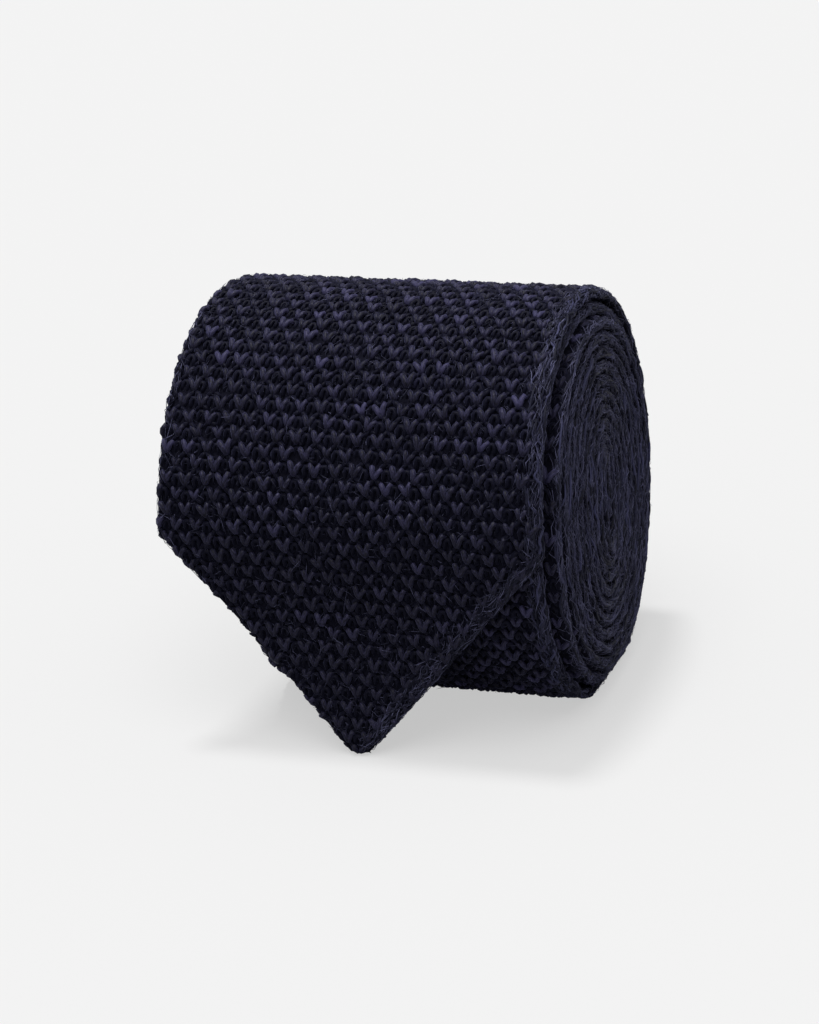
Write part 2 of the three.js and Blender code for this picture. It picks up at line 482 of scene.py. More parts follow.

# %% [markdown]
# ## One knitted stitch
#
# The face of this knit is rows of small V stitches, each row set half a stitch beside the last one. A V
# stands proud of the cloth. Under its foot two slanted links run down to the arms of the next Vs, and the
# open diamond between them holds the lower arch of the row behind, with a dark hole in it. Each of them is
# a curve with a round section, drawn once and made a mesh.

# %% The paths of the yarn
STITCH_PITCH, ROW_PITCH = 3.42 * MM, 2.42 * MM
V_PATH = (  # across, along, height, in mm, from the end of the left arm to the foot
    (-0.96, 0.56, 0.42), (-0.90, 0.94, 0.74), (-0.64, 0.66, 0.94), (-0.38, 0.04, 0.94),
    (-0.20, -0.52, 0.80), (0.0, -0.90, 0.46),
)
ARCH_PATH = (
    (-0.50, -3.45, 0.38), (-0.56, -2.80, 0.58), (-0.46, -2.16, 0.68), (0.0, -1.86, 0.68),
)
LINK_PATH = (
    (-0.08, -0.72, 0.46), (-0.38, -1.06, 0.60), (-0.66, -1.32, 0.64), (-0.92, -1.54, 0.56),
    (-1.14, -1.68, 0.38),
)


def half_path(path):
    return np.array(path) * MM


def mirrored(path):
    """The whole path of a stitch whose left half is given."""
    left = half_path(path)
    return np.concatenate([left, (left * (-1, 1, 1))[-2::-1]])


v_path, arch_path = mirrored(V_PATH), mirrored(ARCH_PATH)
left_link, right_link = half_path(LINK_PATH), half_path(LINK_PATH) * (-1, 1, 1)
print("the V has", len(v_path), "points, the arch", len(arch_path), "and a link", len(left_link))


# %% A yarn as a mesh
def yarn_piece(name, path, radius, round_steps):
    """A curve with a round section along the path, made a closed mesh."""
    deselect_all()
    bpy.ops.curve.primitive_nurbs_path_add()
    piece = bpy.context.object
    piece.name = name
    spline = piece.data.splines[0]
    spline.points.add(len(path) - len(spline.points))
    for point, place in zip(spline.points, path):
        point.co = (*place, 1)
    spline.order_u = 3
    spline.resolution_u = 1
    spline.use_endpoint_u = True
    piece.data.bevel_depth = radius
    piece.data.bevel_resolution = round_steps
    piece.data.use_fill_caps = True
    bpy.ops.object.convert(target="MESH")
    piece = bpy.context.object
    bpy.ops.object.mode_set(mode="EDIT")
    bpy.ops.mesh.select_all(action="SELECT")
    bpy.ops.mesh.remove_doubles(threshold=MERGE_WITHIN)
    bpy.ops.mesh.normals_make_consistent(inside=False)
    bpy.ops.object.mode_set(mode="OBJECT")
    return piece


# %% [markdown]
# The mesh of a stitch is read into arrays, because thousands of copies are made from it. Every point also
# gets its place round its yarn and along it, so that the material can draw its streaks out along the yarn.

# %% A stitch as arrays
V_YARN, GROUND_YARN = 0.42 * MM, 0.40 * MM
FINE_STEPS = 200


def pattern_of(piece, path):
    """The stitch as arrays, with each point's place round and along its yarn. The piece is removed."""
    points = points_of(piece)
    corners = np.empty(len(piece.data.loops), np.int32)
    piece.data.loops.foreach_get("vertex_index", corners)
    sizes = np.empty(len(piece.data.polygons), np.int32)
    piece.data.polygons.foreach_get("loop_total", sizes)
    fine = np.linspace(0, len(path) - 1, FINE_STEPS)
    centre = np.stack([np.interp(fine, range(len(path)), axis) for axis in path.T], axis=1)
    nearest = np.argmin(((points[:, None] - centre[None]) ** 2).sum(-1), axis=1)
    run = np.concatenate([[0], np.cumsum(np.linalg.norm(np.diff(centre, axis=0), axis=1))])
    ahead = np.gradient(centre, axis=0)[nearest]
    ahead /= np.linalg.norm(ahead, axis=1, keepdims=True)
    side = np.cross(ahead, (0, 0, 1))
    side /= np.linalg.norm(side, axis=1, keepdims=True)
    arm = points - centre[nearest]
    arm /= np.linalg.norm(arm, axis=1, keepdims=True) + 1e-9
    round_yarn = np.stack([
        (arm * side).sum(1), (arm * np.cross(side, ahead)).sum(1), run[nearest] / MM,
    ], axis=1)
    name = piece.name
    bpy.data.objects.remove(piece)
    print(name, len(points), "points,", len(sizes), "faces")
    return {"points": points, "corners": corners, "sizes": sizes, "yarn": round_yarn}


def together(*patterns):
    """Several patterns as one."""
    joined = {
        key: np.concatenate([pattern[key] for pattern in patterns]) for key in ("points", "sizes", "yarn")}
    counts = np.cumsum([0] + [len(pattern["points"]) for pattern in patterns])
    joined["corners"] = np.concatenate([
        pattern["corners"] + count for pattern, count in zip(patterns, counts)])
    return joined


v_stitch = pattern_of(yarn_piece("v_stitch", v_path, V_YARN, round_steps=1), v_path)
ground_stitch = together(*[
    pattern_of(yarn_piece(name, path, GROUND_YARN, round_steps=0), path)
    for name, path in (("arch", arch_path), ("left_link", left_link), ("right_link", right_link))
])

# %% [markdown]
# ## Copies of a stitch
#
# Thousands of stitches are far too many for one object each, so the copies are laid out as arrays and
# joined in one mesh. Each copy is moved to its place on the flat tie, with a small random turn, size and
# shift, because no two real stitches are alike. What lies beyond a fold of the tube is bent round it. Every
# point also keeps its stitch's shade, which the material turns into lighter and bluer yarn.

# %% Lay out copies on the flat tie
chance = np.random.default_rng(7)
SIZE_SPREAD = 0.08
SHIFT_SPREAD, SHIFT_SHARES = 0.10 * MM, (1, 1, 0.4)


def place_copies(pattern, places, turn_spread):
    """Points of all copies on the flat tie. places holds across, along and height."""
    count = len(places)
    points = np.repeat(pattern["points"][None], count, axis=0)
    points *= (1 + SIZE_SPREAD * chance.standard_normal(count))[:, None, None]
    angle = turn_spread * chance.standard_normal(count)
    cosine, sine = np.cos(angle)[:, None], np.sin(angle)[:, None]
    across = points[..., 0] * cosine - points[..., 1] * sine
    along = points[..., 0] * sine + points[..., 1] * cosine
    points = np.stack([across, along, points[..., 2]], axis=-1)
    shift = SHIFT_SPREAD * chance.standard_normal((count, 3)) * SHIFT_SHARES
    return points + (places + shift)[:, None, :]


# %% Bend them round the folds
FOLD_RADIUS = KNIT / 2
LEAST_REACH = 0.2 * MM


def bend(beyond, height):
    """Goes round a fold from its start: how far out and how high a point comes to lie."""
    angle = np.clip(beyond / FOLD_RADIUS, 0, np.pi)
    past = np.maximum(beyond - np.pi * FOLD_RADIUS, 0)
    return np.minimum(beyond, 0) + height * np.sin(angle) - past, height * np.cos(angle)


def fold_over(flat):
    """Bends what lies beyond the tip or the side folds of the tie round them, to its other face."""
    across, along, height = np.moveaxis(flat, -1, 0)
    below, height = bend(FOLD_RADIUS - along, height)
    along = FOLD_RADIUS - below
    reach = np.maximum(width_at(along, TIE_LENGTH) / 2 - FOLD_RADIUS, LEAST_REACH)
    beyond, height = bend(np.abs(across) - reach, height)
    return np.stack([np.sign(across) * (reach + beyond), along, height], axis=-1)


print("the folds have a radius of", FOLD_RADIUS / MM, "mm")

# %% Join the copies in one mesh
NOISE_STEP = 7.3  # how far apart the streaks of two copies are taken from the noise


def joined_mesh(name, pattern, rolled, shade, flipped=False):
    """One mesh of all the copies, whose points are rolled already."""
    count, size = rolled.shape[:2]
    corners, sizes = pattern["corners"], pattern["sizes"]
    if flipped:
        starts = np.concatenate([[0], np.cumsum(sizes)[:-1]])
        corners = np.concatenate([corners[s:s + n][::-1] for s, n in zip(starts, sizes)])
    all_corners = (corners[None] + size * np.arange(count)[:, None]).ravel()
    all_sizes = np.tile(sizes, count)
    mesh = bpy.data.meshes.new(name)
    mesh.vertices.add(count * size)
    mesh.vertices.foreach_set("co", rolled.astype(np.float32).ravel())
    mesh.loops.add(len(all_corners))
    mesh.loops.foreach_set("vertex_index", all_corners.astype(np.int32))
    mesh.polygons.add(len(all_sizes))
    starts = np.concatenate([[0], np.cumsum(all_sizes)[:-1]])
    mesh.polygons.foreach_set("loop_start", starts.astype(np.int32))
    mesh.polygons.foreach_set("use_smooth", np.ones(len(all_sizes), bool))
    mesh.update(calc_edges=True)
    mesh.validate()
    shades = mesh.attributes.new("shade", "FLOAT", "POINT")
    shades.data.foreach_set("value", np.repeat(shade, size).astype(np.float32))
    yarn = mesh.attributes.new("yarn", "FLOAT_VECTOR", "POINT")
    along_yarn = np.tile(pattern["yarn"][None], (count, 1, 1))
    along_yarn[..., 2] += np.arange(count)[:, None] * NOISE_STEP
    yarn.data.foreach_set("vector", along_yarn.astype(np.float32).ravel())
    piece = bpy.data.objects.new(name, mesh)
    bpy.context.scene.collection.objects.link(piece)
    print(name, count, "copies,", int((all_sizes - 2).sum()), "triangles")
    return piece


# %% [markdown]
# The stitches lie in rows across the tie. The yarn is dark, with some lighter fibre spun in, and it runs
# along a row, so now and then a stitch is lighter, and the next one half as much.

# %% Places and shades of the stitches
MOST_COLUMNS = 11
BASE_POWER, BASE_TOP = 1.5, 0.45
LIT_SHADE, NEIGHBOUR_SHARE = (0.25, 0.75), 0.6


def stitch_grid(start, end, overhang, from_left=None, from_right=None):
    """Places of the stitches in the rows between two lengths, with every other row half a stitch over.

    overhang is how far they reach beyond the left side and round the point, and beyond the right side.
    from_left and from_right keep only the stitches that are so near to a fold."""
    rows = np.arange(math.ceil(start / ROW_PITCH), math.ceil(end / ROW_PITCH))
    columns = np.arange(-MOST_COLUMNS, MOST_COLUMNS + 1)
    row, column = (part.ravel() for part in np.meshgrid(rows, columns, indexing="ij"))
    across = (column + 0.5 * (row % 2)) * STITCH_PITCH
    along = row * ROW_PITCH
    half = width_at(along, TIE_LENGTH) / 2
    right_overhang = np.where(along < POINT_HEIGHT, *overhang)
    keep = (across > -half - overhang[0]) & (across < half + right_overhang)
    if from_left is not None:
        keep &= across + half < from_left
    if from_right is not None:
        keep &= half - across < from_right
    return np.stack([across, along, np.zeros(len(along))], axis=1)[keep]


def heather(count, bright):
    """Shade of each stitch from 0 to 1. Yarn runs along a row, so a light stitch has a light neighbour."""
    base = chance.random(count) ** BASE_POWER * BASE_TOP
    seeds = chance.random(count) < bright
    lit = seeds + NEIGHBOUR_SHARE * np.roll(seeds, 1)
    return np.clip(base + lit * chance.uniform(*LIT_SHADE, count), 0, 1)


# %% [markdown]
# ## The face of the tie
#
# All that shows of the cloth's face is the hanging point and the outermost turn, so it gets whole
# stitches: the Vs on top, and the links and arches between them. They run on round the side folds, which
# gives the sides their scalloped outline, but the Vs stop where the right fold is rubbed. The stitches'
# lighter shade is dimmed towards the point as painted shade, where less light from above falls. Vs and
# ground are each split in two lengths, which keeps every piece light.

# %% How stitches are laid on a face
V_TURN, GROUND_TURN = math.radians(8), math.radians(5)
V_BRIGHT, GROUND_BRIGHT = 0.09, 0.02
# painted shade: the share of the lighter shade kept at the point, and the lengths over which it comes back
PAINTED_SHADE_AT_POINT, PAINTED_SHADE_REACH = 0.3, (15 * MM, 75 * MM)


def painted_shade_to_point(along):
    """Painted shade: how much of a stitch's lighter shade is kept, less and less towards the point."""
    return PAINTED_SHADE_AT_POINT + (1 - PAINTED_SHADE_AT_POINT) * smooth_share(along, *PAINTED_SHADE_REACH)


def knit_face(name, pattern, start, end, overhang, back=False, **near):
    """Copies of a stitch on the tie's face, or turned over on its back."""
    turn_spread, bright = (V_TURN, V_BRIGHT) if pattern is v_stitch else (GROUND_TURN, GROUND_BRIGHT)
    places = stitch_grid(start, end, overhang, **near)
    flat = fold_over(place_copies(pattern, places, turn_spread))
    if back:
        flat = flat * (1, 1, -1)
    # painted shade: the random shade is dimmed towards the point, where less light from above falls
    shade = heather(len(places), bright) * painted_shade_to_point(places[:, 1])
    return joined_mesh(name, pattern, roll_up(flat), shade, flipped=back)


# %% Stitches on the face
FACE_SPLIT, FACE_END = length_at(0.42), length_at(FACE_END_TURN)
ROUND_THE_LEFT, ROUND_BOTH_FOLDS = (2.6 * MM, -1.5 * MM), (2.6 * MM, 2.6 * MM)
FACES = {  # name: pattern, start, end, overhang
    "blade_stitches": (v_stitch, 0, FACE_SPLIT, ROUND_THE_LEFT),
    "top_and_back_stitches": (v_stitch, FACE_SPLIT, FACE_END, ROUND_THE_LEFT),
    "blade_ground": (ground_stitch, 0, FACE_SPLIT, ROUND_BOTH_FOLDS),
    "top_and_back_ground": (ground_stitch, FACE_SPLIT, FACE_END, ROUND_BOTH_FOLDS),
}
stitches = {name: knit_face(name, *settings) for name, settings in FACES.items()}

# %% [markdown]
# Behind the hanging point, in the open left end and in the gap beside the blade's right fold, more of the
# cloth can be seen from close by. These strips get the same stitches, only as deep as light reaches.

# %% Stitches on the strips that show inside the roll
SHORT_OF_THE_FOLDS = (-1.6 * MM, -1.6 * MM)
LEFT_REACH, RIGHT_REACH = 9 * MM, 8 * MM
POINT_BACK_END, LEFT_INNER_END, RIGHT_INNER_END = 44 * MM, length_at(2.1), length_at(3.1)

for name, pattern in (("point_back_stitches", v_stitch), ("point_back_ground", ground_stitch)):
    stitches[name] = knit_face(name, pattern, 0, POINT_BACK_END, SHORT_OF_THE_FOLDS, back=True)
stitches["left_inner_stitches"] = knit_face(
    "left_inner_stitches", v_stitch, POINT_BACK_END, LEFT_INNER_END, SHORT_OF_THE_FOLDS, back=True,
    from_left=LEFT_REACH)
for name, pattern in (("right_inner_stitches", v_stitch), ("right_inner_ground", ground_stitch)):
    stitches[name] = knit_face(
        name, pattern, FACE_END, RIGHT_INNER_END, SHORT_OF_THE_FOLDS, from_right=RIGHT_REACH)

# %% [markdown]
# ## Strands along the folds
#
# At the two ends of the roll the tube was folded and rubbed, and its yarn shows as loose strands that cross
# the fold on a slant, by turns one way and the other, like a plait. A strand is placed by how far it runs
# along the edge of the flat tie, and by how far it lies from the crest of the fold, so the same strands
# also follow the diagonal of the point. Each is a tube of nine rings that dives in at both ends.

# %% The edge of the flat tie
EDGE_SAMPLES = 12000


def edge_line():
    """The right edge of the flat tie from the middle of its point: distance run, across and along."""
    along = np.linspace(0, TIE_LENGTH, EDGE_SAMPLES)
    across = width_at(along, TIE_LENGTH) / 2
    along, across = np.concatenate([[0], along]), np.concatenate([[0], across])
    run = np.concatenate([[0], np.cumsum(np.hypot(np.diff(along), np.diff(across)))])
    return run, across, along


EDGE_RUN, EDGE_ACROSS, EDGE_ALONG = edge_line()


def run_at(along):
    """How far along the edge a length of the tie is reached."""
    return float(np.interp(along, EDGE_ALONG[1:], EDGE_RUN[1:]))


print(f"the edge is {EDGE_RUN[-1]:.3f} m long")

# %% Places round a fold
EDGE_REACH = 1.2 * MM


def round_fold(run, from_crest, lift, left=False):
    """Points of the flat tie near its fold.

    They lie so far from the crest towards the face, and are lifted so far from the fold's middle."""
    angle = np.clip(np.pi / 2 - from_crest / FOLD_RADIUS, 0, np.pi)
    past = np.maximum(np.abs(from_crest) - np.pi / 2 * FOLD_RADIUS, 0)
    inward = FOLD_RADIUS - lift * np.sin(angle) + past
    ahead_across, ahead_along = (
        np.interp(run + EDGE_REACH, EDGE_RUN, edge) - np.interp(run - EDGE_REACH, EDGE_RUN, edge)
        for edge in (EDGE_ACROSS, EDGE_ALONG))
    length = np.hypot(ahead_across, ahead_along)
    across = np.interp(run, EDGE_RUN, EDGE_ACROSS) - ahead_along / length * inward
    along = np.interp(run, EDGE_RUN, EDGE_ALONG) + ahead_across / length * inward
    return np.stack([-across if left else across, along, lift * np.cos(angle)], axis=-1)


# %% [markdown]
# Strands and fibres are too many for curves drawn one by one, so the rings of all the tubes of a set are
# worked out at once. A ring stands square to its path, and needs a side direction to start from. It comes
# from the X axis, or from the Y axis where the path runs along X itself.

# %% Thin tubes
RING_STEP = 1.1  # along the yarn, in the noise of its streaks
STEEP = 0.8


def tube_pattern(rings, sides):
    """Corners of closed tubes made of rings, with flat ends."""
    faces = [tuple(range(sides))[::-1], tuple((rings - 1) * sides + side for side in range(sides))]
    for ring in range(rings - 1):
        for side in range(sides):
            a, b = ring * sides + side, ring * sides + (side + 1) % sides
            faces.append((a, b, b + sides, a + sides))
    angle = 2 * np.pi * np.arange(sides) / sides
    place = [(math.cos(a), math.sin(a), RING_STEP * ring) for ring in range(rings) for a in angle]
    return {
        "corners": np.array([corner for face in faces for corner in face], np.int32),
        "sizes": np.array([len(face) for face in faces], np.int32),
        "yarn": np.array(place),
    }


def tube_points(paths, radius, sides):
    """Rings of points round the paths. radius has one value for each point of each path."""
    ahead = np.gradient(paths, axis=1)
    ahead /= np.linalg.norm(ahead, axis=-1, keepdims=True) + 1e-12
    chord = paths[:, -1] - paths[:, 0]
    steep = np.abs(chord[:, :1]) > STEEP * np.linalg.norm(chord, axis=1, keepdims=True)
    helper = np.where(steep, [[0, 1.0, 0]], [[1.0, 0, 0]])[:, None, :]
    side = np.cross(ahead, helper)
    side /= np.linalg.norm(side, axis=-1, keepdims=True)
    top = np.cross(ahead, side)
    angle = (2 * np.pi * np.arange(sides) / sides)[:, None]
    arm = side[:, :, None] * np.cos(angle) + top[:, :, None] * np.sin(angle)
    rings = paths[:, :, None] + arm * radius[:, :, None, None]
    return rings.reshape(len(paths), -1, 3)


# %% One set of strands
STRAND_RINGS, STRAND_SIDES = 9, 4
STRAND = tube_pattern(STRAND_RINGS, STRAND_SIDES)
LENGTH_SHARES, THICKNESS_SHARES, DRIFT_SHARES = (0.55, 1.5), (0.6, 1.25), (0.4, 1.3)
WAVES, WAVE_HEIGHT = (0.7, 2.2), (0.1 * MM, 0.4 * MM)
LIFT, DIVE, ROUNDNESS, THIN_END = (-0.12 * MM, 0.22 * MM), 0.35 * MM, 0.6, 0.4
STRAND_SHADE, STRAND_SHADE_SPREAD = 0.18, 0.42


def strands(name, reach, spacing, length, crest, drift, radius, left=False):
    """Strands along a fold: over which part of the edge, how far apart, how long, how far their middles lie
    from the fold's crest, how far they drift across it and how thick they are."""
    start, end = reach
    count = int((end - start) / spacing)
    share = np.linspace(0, 1, STRAND_RINGS)
    station = start + spacing * (np.arange(count) + chance.random(count))
    lengths = length * chance.uniform(*LENGTH_SHARES, count)
    way = np.where(np.arange(count) % 2, 1, -1) * chance.uniform(*DRIFT_SHARES, count)
    waves = chance.uniform(*WAVES, (count, 1)) * share + chance.random((count, 1))
    wobble = chance.uniform(*WAVE_HEIGHT, (count, 1)) * np.sin(2 * np.pi * waves)
    from_crest = chance.uniform(*crest, count)[:, None] + way[:, None] * drift * (share - 0.5) + wobble
    run = np.clip(station[:, None] + lengths[:, None] * (share - 0.5), 0, EDGE_RUN[-1])
    rise = np.sin(np.pi * share) ** ROUNDNESS
    lift = FOLD_RADIUS + chance.uniform(*LIFT, count)[:, None] * rise - DIVE * (1 - rise)
    thick = radius * chance.uniform(*THICKNESS_SHARES, count)[:, None] * (THIN_END + (1 - THIN_END) * rise)
    paths = roll_up(round_fold(run, from_crest, lift, left))
    shade = np.clip(chance.normal(STRAND_SHADE, STRAND_SHADE_SPREAD, count), 0, 1)
    # painted shade: the strands are dimmed towards the point like the stitches
    shade *= painted_shade_to_point(np.interp(station, EDGE_RUN, EDGE_ALONG))
    return joined_mesh(name, STRAND, tube_points(paths, thick, STRAND_SIDES), shade)


# %% Strands along the folds
EDGE_START, SHOULDER_RUN = 3 * MM, run_at(0.8 * POINT_HEIGHT)
RIM_START, RIM_END = run_at(length_at(1.0)), run_at(TIE_LENGTH - TAIL_POINT_HEIGHT)
RIM, RIM_CREST = (RIM_START, RIM_END), (-0.75 * MM, 0.75 * MM)
EDGE_CREST, LEFT_CREST = (-0.4 * MM, 2.7 * MM), (-0.8 * MM, 1.5 * MM)
FOLDS = {  # name: reach, spacing, length, crest, drift, radius, and whether it is the left fold
    "point_edge_strands": (
        (EDGE_START, SHOULDER_RUN), 0.9 * MM, 5.0 * MM, EDGE_CREST, 1.3 * MM, 0.17 * MM),
    "right_rim_strands": (RIM, 1.9 * MM, 8.5 * MM, RIM_CREST, 1.5 * MM, 0.24 * MM),
    "left_rim_strands": (RIM, 2.4 * MM, 8.5 * MM, RIM_CREST, 1.5 * MM, 0.26 * MM, True),
    "right_edge_strands": (
        (SHOULDER_RUN, RIM_START), 0.42 * MM, 5.0 * MM, EDGE_CREST, 1.3 * MM, 0.20 * MM),
}
folds = {name: strands(name, *settings) for name, settings in FOLDS.items()}

# %% [markdown]
# ## Fuzz
#
# Short fibres stand off the rubbed yarn. A fibre is a thin spindle with three sides: a point at each end
# and two rings between. It follows a bent line of four points, so it can curl. On the face the fibres lie
# every way, and on the folds they run mostly along the edge. The left edge of the point gets none, because
# it is clean in the picture.

# %% A fibre
FIBRE_SIDES, FIBRE_POINTS = 3, 4


def fibre_pattern():
    """Corners of a spindle: points 0 and 7 are its ends, and 1 to 3 and 4 to 6 its two rings."""
    faces = []
    for side in range(FIBRE_SIDES):
        other = (side + 1) % FIBRE_SIDES
        faces.append((0, 1 + other, 1 + side))
        faces.append((1 + side, 1 + other, 4 + other, 4 + side))
        faces.append((4 + side, 4 + other, 7))
    sizes = np.array([len(face) for face in faces], np.int32)
    corners = np.array([corner for face in faces for corner in face], np.int32)
    along = np.array([0, 1, 1, 1, 2, 2, 2, 3]) / (FIBRE_POINTS - 1)
    return {"corners": corners, "sizes": sizes, "yarn": np.stack([0 * along, 0 * along, along], axis=1)}


FIBRE = fibre_pattern()


def fibres(name, flat_paths, radius, shade):
    """Spindles that follow the flat paths, each of four points."""
    paths = roll_up(flat_paths)
    radii = np.repeat(radius[:, None], FIBRE_POINTS, axis=1)
    rings = tube_points(paths, radii, FIBRE_SIDES)[:, FIBRE_SIDES:-FIBRE_SIDES]
    points = np.concatenate([paths[:, :1], rings, paths[:, -1:]], axis=1)
    return joined_mesh(name, FIBRE, points, shade)


# %% Fuzz on the face
FACE_FUZZ = 5000
FACE_FUZZ_HEIGHT, FACE_FUZZ_LENGTH, FACE_FUZZ_RADIUS = (0.7, 1.2), (0.5, 1.8), (0.02, 0.04)
FACE_FUZZ_HEADING, FACE_FUZZ_CURL = (1, 1, 0.12), 0.09 * MM


def face_fuzz(name, count, end):
    """Short fibres lying on the stitches of the face."""
    along = chance.uniform(EDGE_START, end, count)
    across = chance.uniform(-0.5, 0.5, count) * width_at(along, TIE_LENGTH)
    start_points = np.stack([across, along, chance.uniform(*FACE_FUZZ_HEIGHT, count) * MM], axis=1)
    headings = chance.standard_normal((count, 3)) * FACE_FUZZ_HEADING
    lengths = chance.uniform(*FACE_FUZZ_LENGTH, count)[:, None] * MM
    steps = [start_points + headings * lengths * step / (FIBRE_POINTS - 1) for step in range(FIBRE_POINTS)]
    paths = np.stack(steps, axis=1) + chance.normal(0, FACE_FUZZ_CURL, (count, FIBRE_POINTS, 3))
    radius = chance.uniform(*FACE_FUZZ_RADIUS, count) * MM
    return fibres(name, fold_over(paths), radius, chance.random(count) ** 2)


fuzz = {"face_fuzz": face_fuzz("face_fuzz", FACE_FUZZ, FACE_END)}

# %% Fuzz on the folds
FOLD_FUZZ_LENGTH, FOLD_FUZZ_RADIUS = (1.2, 5.0), (0.03, 0.075)
FOLD_FUZZ_DRIFT, FOLD_FUZZ_CURL = 1.0, 0.22 * MM
FOLD_FUZZ_LIFT, FOLD_FUZZ_LIFT_SPREAD = 0.12, 0.13


def fold_fuzz(name, count, reach, crest, left=False):
    """Fibres on a fold, mostly in line with it."""
    share = np.linspace(0, 1, FIBRE_POINTS)
    lengths = chance.uniform(*FOLD_FUZZ_LENGTH, count) * chance.choice((-1, 1), count)
    run = chance.uniform(*reach, count)[:, None] + lengths[:, None] * share * MM
    drift = chance.normal(0, FOLD_FUZZ_DRIFT, count)[:, None] * share * MM
    curl = chance.normal(0, FOLD_FUZZ_CURL, (count, FIBRE_POINTS))
    from_crest = chance.uniform(*crest, count)[:, None] + drift + curl
    lift = FOLD_RADIUS + chance.normal(FOLD_FUZZ_LIFT, FOLD_FUZZ_LIFT_SPREAD, (count, FIBRE_POINTS)) * MM
    paths = round_fold(np.clip(run, 0, EDGE_RUN[-1]), from_crest, lift, left)
    return fibres(name, paths, chance.uniform(*FOLD_FUZZ_RADIUS, count) * MM, chance.random(count))


FOLD_FUZZ = {  # name: count, reach, crest, and whether it is the left fold
    "right_end_fuzz": (10000, RIM, RIM_CREST),
    "left_end_fuzz": (4000, RIM, RIM_CREST, True),
    "right_edge_fuzz": (1500, (EDGE_START, RIM_START), EDGE_CREST),
    "left_edge_fuzz": (400, (SHOULDER_RUN, RIM_START), LEFT_CREST, True),
}
for name, settings in FOLD_FUZZ.items():
    fuzz[name] = fold_fuzz(name, *settings)

# %% [markdown]
# ## The yarn's finish
#
# The yarn is a dark navy that has some lighter, bluer fibre spun into it. Its base colour goes from dark to
# blue with the stitch's shade and with a fine noise that is drawn out along the yarn. The same noise makes
# a small bump, as the fibres do. A little sheen stands for the fuzz that is too fine to model. The cloth
# under the stitches is dark navy painted nearly black, as painted shade for the deep knit seen through the
# holes, with a knit relief from its flat UV map whose dips are painted darker still, as painted shade.

# %% A material with a soft sheen
SHEEN_ROUGHNESS, SHEEN_TINT = 0.45, (0.5, 0.52, 0.95, 1)


def new_material(name, roughness, specular, sheen):
    material = bpy.data.materials.new(name)
    material.use_nodes = True
    shader = material.node_tree.nodes["Principled BSDF"]
    shader.inputs["Roughness"].default_value = roughness
    shader.inputs["Specular IOR Level"].default_value = specular
    shader.inputs["Sheen Weight"].default_value = sheen
    shader.inputs["Sheen Roughness"].default_value = SHEEN_ROUGHNESS
    shader.inputs["Sheen Tint"].default_value = SHEEN_TINT
    return material, shader


# %% Yarn
DRAWN_OUT, STREAK_SCALE, STREAK_DETAIL = (1.6, 1.6, 0.9), 2.2, 3
STREAK_START, STREAK_END, STREAK_DARK = 0.35, 0.75, -0.5
YARN_BUMP, YARN_BUMP_DEPTH = 0.35, 0.12 * MM


def yarn_material(name, dark, light, roughness=0.5, specular=0.3, sheen=0.08, streaks=0.5):
    """Yarn from dark to light, with the stitch's shade and with streaks drawn out along the yarn."""
    material, shader = new_material(name, roughness, specular, sheen)
    nodes, links = material.node_tree.nodes, material.node_tree.links
    shade = nodes.new("ShaderNodeAttribute")
    shade.attribute_name = "shade"
    place = nodes.new("ShaderNodeAttribute")
    place.attribute_name = "yarn"
    drawn_out = nodes.new("ShaderNodeMapping")
    drawn_out.inputs["Scale"].default_value = DRAWN_OUT
    noise = nodes.new("ShaderNodeTexNoise")
    noise.inputs["Scale"].default_value = STREAK_SCALE
    noise.inputs["Detail"].default_value = STREAK_DETAIL
    streak = nodes.new("ShaderNodeMapRange")
    streak.inputs["From Min"].default_value = STREAK_START
    streak.inputs["From Max"].default_value = STREAK_END
    streak.inputs["To Min"].default_value = STREAK_DARK * streaks
    streak.inputs["To Max"].default_value = streaks
    total = nodes.new("ShaderNodeMath")
    total.operation = "ADD"
    total.use_clamp = True
    ramp = nodes.new("ShaderNodeMix")
    ramp.data_type = "RGBA"
    ramp.inputs["A"].default_value = (*dark, 1)
    ramp.inputs["B"].default_value = (*light, 1)
    bump = nodes.new("ShaderNodeBump")
    bump.inputs["Strength"].default_value = YARN_BUMP
    bump.inputs["Distance"].default_value = YARN_BUMP_DEPTH
    links.new(place.outputs["Vector"], drawn_out.inputs["Vector"])
    links.new(drawn_out.outputs["Vector"], noise.inputs["Vector"])
    links.new(noise.outputs["Fac"], streak.inputs["Value"])
    links.new(streak.outputs["Result"], total.inputs[0])
    links.new(shade.outputs["Fac"], total.inputs[1])
    links.new(total.outputs["Value"], ramp.inputs["Factor"])
    links.new(ramp.outputs["Result"], shader.inputs["Base Color"])
    links.new(noise.outputs["Fac"], bump.inputs["Height"])
    links.new(bump.outputs["Normal"], shader.inputs["Normal"])
    return material


face_yarn = yarn_material(
    "face_yarn", (0.0055, 0.0052, 0.0140), (0.058, 0.054, 0.130), specular=0.2, sheen=0.14, streaks=0.7)
# painted shade: the ground is the same yarn as the Vs, painted darker because it lies recessed between and
# under them
ground_yarn_painted_shade = yarn_material("ground_yarn_painted_shade", (0.0045, 0.0045, 0.012), (0.014, 0.014, 0.034), specular=0.08)
fold_yarn = yarn_material("fold_yarn", (0.0045, 0.005, 0.0125), (0.070, 0.072, 0.160), specular=0.2)
fuzz_fibre = yarn_material("fuzz_fibre", (0.010, 0.011, 0.026), (0.150, 0.152, 0.280), roughness=0.6)
print("yarns:", face_yarn.name, ground_yarn_painted_shade.name, fold_yarn.name, fuzz_fibre.name)

# %% The cloth under the stitches
# painted shade: the cloth is painted darker than any yarn, for the deep knit in shade seen through the holes
CLOTH_DARK, CLOTH_LIGHT = (0.003, 0.003, 0.008, 1), (0.009, 0.009, 0.020, 1)
CLOTH_ROUGHNESS, CLOTH_SPECULAR, CLOTH_SHEEN = 0.85, 0.08, 0.03
CLOTH_NOISE_SCALE, CLOTH_NOISE_DETAIL, LUMPS = 1800, 3, 0.45
CLOTH_BUMP, CLOTH_BUMP_DEPTH = 0.8, 0.5 * MM


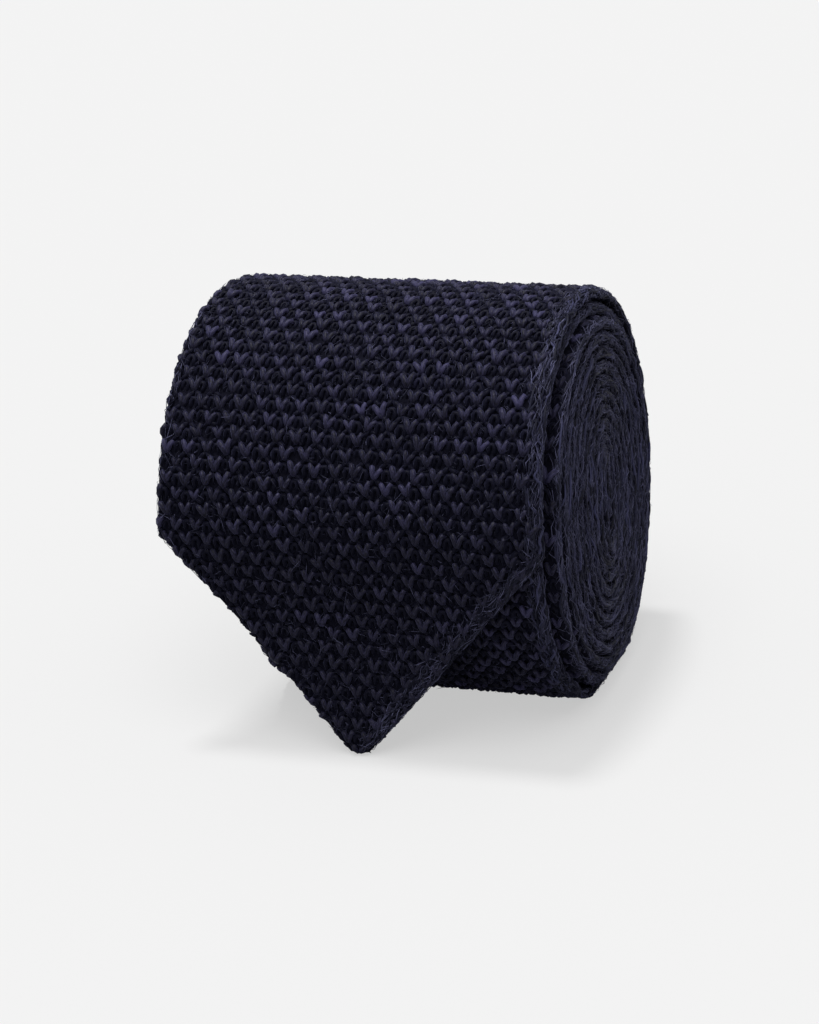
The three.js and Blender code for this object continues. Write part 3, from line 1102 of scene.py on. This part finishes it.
def knit_cloth_material():
    """Nearly black cloth, painted darker than the yarn as painted shade, whose relief repeats with the
    stitches, half a stitch over in every other row. The relief's dips are painted darker still, as painted
    shade.
    """
    material, shader = new_material("knit_cloth_painted_shade", CLOTH_ROUGHNESS, CLOTH_SPECULAR, CLOTH_SHEEN)
    nodes, links = material.node_tree.nodes, material.node_tree.links
    flat = nodes.new("ShaderNodeUVMap")
    flat.uv_map = FLAT_MAP
    split = nodes.new("ShaderNodeSeparateXYZ")
    links.new(flat.outputs["UV"], split.inputs["Vector"])

    def wave(axis, pitch):
        scaled = nodes.new("ShaderNodeMath")
        scaled.operation = "MULTIPLY"
        scaled.inputs[1].default_value = 2 * math.pi / pitch
        links.new(split.outputs[axis], scaled.inputs[0])
        turned = nodes.new("ShaderNodeMath")
        turned.operation = "COSINE"
        links.new(scaled.outputs["Value"], turned.inputs[0])
        return turned

    lumps = nodes.new("ShaderNodeMath")
    lumps.operation = "MULTIPLY"
    links.new(wave("X", STITCH_PITCH).outputs["Value"], lumps.inputs[0])
    links.new(wave("Y", 2 * ROW_PITCH).outputs["Value"], lumps.inputs[1])
    noise = nodes.new("ShaderNodeTexNoise")
    noise.inputs["Scale"].default_value = CLOTH_NOISE_SCALE
    noise.inputs["Detail"].default_value = CLOTH_NOISE_DETAIL
    links.new(flat.outputs["UV"], noise.inputs["Vector"])
    rough = nodes.new("ShaderNodeMath")
    rough.operation = "MULTIPLY_ADD"
    rough.inputs[1].default_value = LUMPS
    links.new(lumps.outputs["Value"], rough.inputs[0])
    links.new(noise.outputs["Fac"], rough.inputs[2])
    # painted shade: the relief also sets the colour, so its dips are painted darker
    ramp = nodes.new("ShaderNodeMix")
    ramp.data_type = "RGBA"
    ramp.clamp_factor = True
    ramp.inputs["A"].default_value = CLOTH_DARK
    ramp.inputs["B"].default_value = CLOTH_LIGHT
    links.new(rough.outputs["Value"], ramp.inputs["Factor"])
    links.new(ramp.outputs["Result"], shader.inputs["Base Color"])
    bump = nodes.new("ShaderNodeBump")
    bump.inputs["Strength"].default_value = CLOTH_BUMP
    bump.inputs["Distance"].default_value = CLOTH_BUMP_DEPTH
    links.new(rough.outputs["Value"], bump.inputs["Height"])
    links.new(bump.outputs["Normal"], shader.inputs["Normal"])
    return material


painted_shade_cloth = knit_cloth_material()
print("cloth:", painted_shade_cloth.name)

# %% Each piece gets its yarn
for cloth in cloths.values():
    cloth.data.materials.append(painted_shade_cloth)
for name, piece in stitches.items():
    piece.data.materials.append(ground_yarn_painted_shade if "ground" in name else face_yarn)
for piece in folds.values():
    piece.data.materials.append(fold_yarn)
for piece in fuzz.values():
    piece.data.materials.append(fuzz_fibre)
print(len(stitches), "sets of stitches,", len(folds), "of strands and", len(fuzz), "of fuzz")

# %% [markdown]
# ## What belongs to what
#
# Every piece rides on the one body, and each length of cloth stands for its imported piece, which is hidden.

# %% What the pieces ride on
trim = [*stitches.values(), *folds.values(), *fuzz.values()]
for piece in (*cloths.values(), *trim):
    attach(piece, "root")
print(len(cloths) + len(trim), "pieces ride on the body")

for cloth_name, (node, start, end) in CLOTHS.items():
    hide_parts(node)
